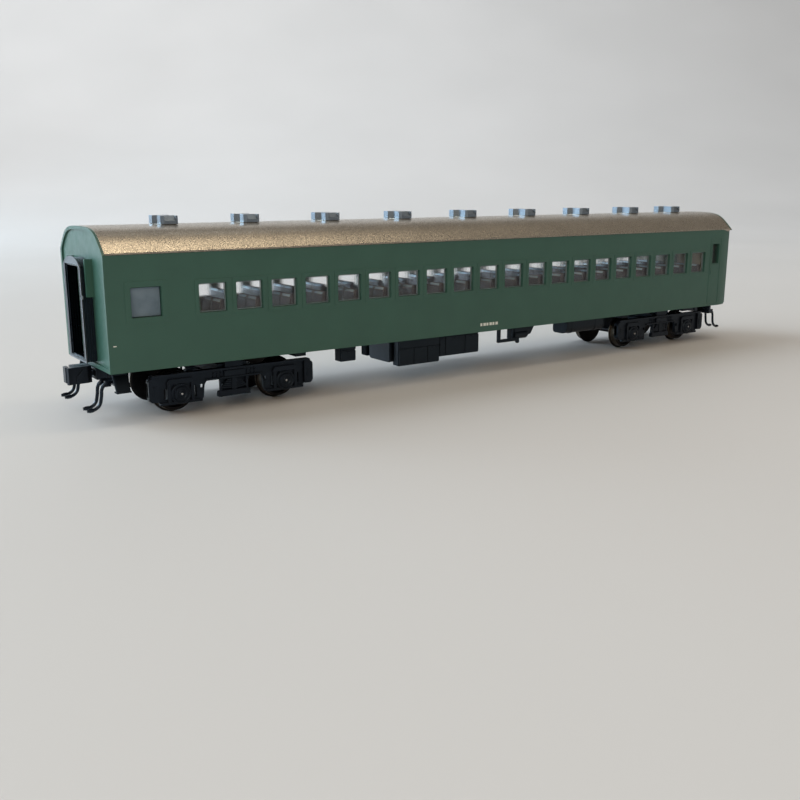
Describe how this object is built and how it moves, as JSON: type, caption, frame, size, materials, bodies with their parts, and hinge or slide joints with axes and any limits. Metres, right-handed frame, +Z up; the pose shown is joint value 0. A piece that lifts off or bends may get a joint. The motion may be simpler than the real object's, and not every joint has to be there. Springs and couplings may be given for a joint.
{
  "type": "model passenger coach",
  "caption": "Model railway passenger coach in green with a gold roof, swivelling bogies, free-rolling wheelsets, swinging couplers, gangways, seats and underfloor equipment.",
  "frame": {"origin": "Under the middle of the coach, on the surface that the wheel flanges rest on", "axes": "+X along the coach towards its rear end, +Y to its right side, +Z up"},
  "size_m": [0.2564, 0.0356, 0.0512],
  "materials": {
    "body_green": "smooth satin dark green paint over moulded plastic",
    "roof_gold": "fine-grained metallic gold and silver paint with a soft sheen",
    "ventilator_silver": "silver paint",
    "clear_window": "clear polished plastic",
    "underframe_black": "black moulded plastic",
    "steel_weight": "plain rolled steel",
    "seat_plastic": "matt grey-purple moulding with pale headrests",
    "interior_cream": "matt cream",
    "bellows_black": "black, pleated and slightly glossy",
    "faceplate_grey": "satin grey paint",
    "coupler_black": "black, slightly glossy",
    "hose_black": "black, slightly glossy",
    "equipment_black": "black, slightly glossy",
    "bogie_black": "black moulded plastic with a warm cast",
    "bright_steel": "bright turned steel",
    "wheel_metal": "blackened wheel with a worn metal tread"
  },
  "bodies": {
    "coach_body": {"body_shell": "body_green", "roof": "roof_gold", "ventilator_1": "ventilator_silver", "ventilator_2": "ventilator_silver", "ventilator_3": "ventilator_silver", "ventilator_4": "ventilator_silver", "ventilator_5": "ventilator_silver", "ventilator_6": "ventilator_silver", "ventilator_7": "ventilator_silver", "ventilator_8": "ventilator_silver", "ventilator_9": "ventilator_silver", "glazing_left": "clear_window", "glazing_right": "clear_window", "underframe": "underframe_black", "ballast_weight": "steel_weight", "seat_moulding": "seat_plastic", "washroom_partition": "interior_cream", "vestibule_partition": "interior_cream", "front_gangway_bellows": "bellows_black", "front_gangway_faceplate": "faceplate_grey", "front_end_door": "body_green", "front_coupler_pocket": "coupler_black", "front_brake_hoses_left": "hose_black", "front_brake_hoses_right": "hose_black", "rear_gangway_bellows": "bellows_black", "rear_gangway_faceplate": "faceplate_grey", "rear_end_door": "body_green", "rear_coupler_pocket": "coupler_black", "rear_brake_hoses_left": "hose_black", "rear_brake_hoses_right": "hose_black", "footstep_left": "underframe_black", "footstep_right": "underframe_black", "relay_box": "equipment_black", "battery_box": "equipment_black", "middle_cases": "equipment_black", "switchgear_box": "equipment_black", "brake_gear": "equipment_black", "water_tank": "equipment_black", "tool_box": "equipment_black", "air_reservoir": "equipment_black", "front_bogie_screw": "bright_steel", "rear_bogie_screw": "bright_steel"},
    "front_bogie": {"front_bogie_frame": "bogie_black"},
    "front_outer_wheelset": {"front_outer_axle": "bright_steel", "front_outer_wheel_left": "wheel_metal", "front_outer_wheel_right": "wheel_metal"},
    "front_inner_wheelset": {"front_inner_axle": "bright_steel", "front_inner_wheel_left": "wheel_metal", "front_inner_wheel_right": "wheel_metal"},
    "front_coupler": {"front_coupler_head": "coupler_black"},
    "front_knuckle": {"front_knuckle": "coupler_black"},
    "rear_bogie": {"rear_bogie_frame": "bogie_black"},
    "rear_outer_wheelset": {"rear_outer_axle": "bright_steel", "rear_outer_wheel_left": "wheel_metal", "rear_outer_wheel_right": "wheel_metal"},
    "rear_inner_wheelset": {"rear_inner_axle": "bright_steel", "rear_inner_wheel_left": "wheel_metal", "rear_inner_wheel_right": "wheel_metal"},
    "rear_coupler": {"rear_coupler_head": "coupler_black"},
    "rear_knuckle": {"rear_knuckle": "coupler_black"}
  },
  "joints": [
    {"name": "front_bogie_swivel", "type": "hinge", "parent": "coach_body", "child": "front_bogie", "pos_m": [-0.0875, 0, 0.0126], "axis": [0, 0, 1], "range_deg": [-12, 12]},
    {"name": "front_outer_wheelset_spin", "type": "hinge", "parent": "front_bogie", "child": "front_outer_wheelset", "pos_m": [-0.1028, 0, 0.006], "axis": [0, 1, 0], "continuous": true},
    {"name": "front_inner_wheelset_spin", "type": "hinge", "parent": "front_bogie", "child": "front_inner_wheelset", "pos_m": [-0.0722, 0, 0.006], "axis": [0, 1, 0], "continuous": true},
    {"name": "front_coupler_swing", "type": "hinge", "parent": "coach_body", "child": "front_coupler", "pos_m": [-0.1164, 0, 0.0114], "axis": [0, 0, 1], "range_deg": [-12, 12], "stiffness_Nm_per_rad": 0.00002},
    {"name": "front_knuckle_swing", "type": "hinge", "parent": "front_coupler", "child": "front_knuckle", "pos_m": [-0.1254, 0.00145, 0.0114], "axis": [0, 0, 1], "range_deg": [-25, 0], "stiffness_Nm_per_rad": 0.00001},
    {"name": "rear_bogie_swivel", "type": "hinge", "parent": "coach_body", "child": "rear_bogie", "pos_m": [0.0875, 0, 0.0126], "axis": [0, 0, 1], "range_deg": [-12, 12]},
    {"name": "rear_outer_wheelset_spin", "type": "hinge", "parent": "rear_bogie", "child": "rear_outer_wheelset", "pos_m": [0.1028, 0, 0.006], "axis": [0, 1, 0], "continuous": true},
    {"name": "rear_inner_wheelset_spin", "type": "hinge", "parent": "rear_bogie", "child": "rear_inner_wheelset", "pos_m": [0.0722, 0, 0.006], "axis": [0, 1, 0], "continuous": true},
    {"name": "rear_coupler_swing", "type": "hinge", "parent": "coach_body", "child": "rear_coupler", "pos_m": [0.1164, 0, 0.0114], "axis": [0, 0, 1], "range_deg": [-12, 12], "stiffness_Nm_per_rad": 0.00002},
    {"name": "rear_knuckle_swing", "type": "hinge", "parent": "rear_coupler", "child": "rear_knuckle", "pos_m": [0.1254, -0.00145, 0.0114], "axis": [0, 0, 1], "range_deg": [-25, 0], "stiffness_Nm_per_rad": 0.00001}
  ]
}
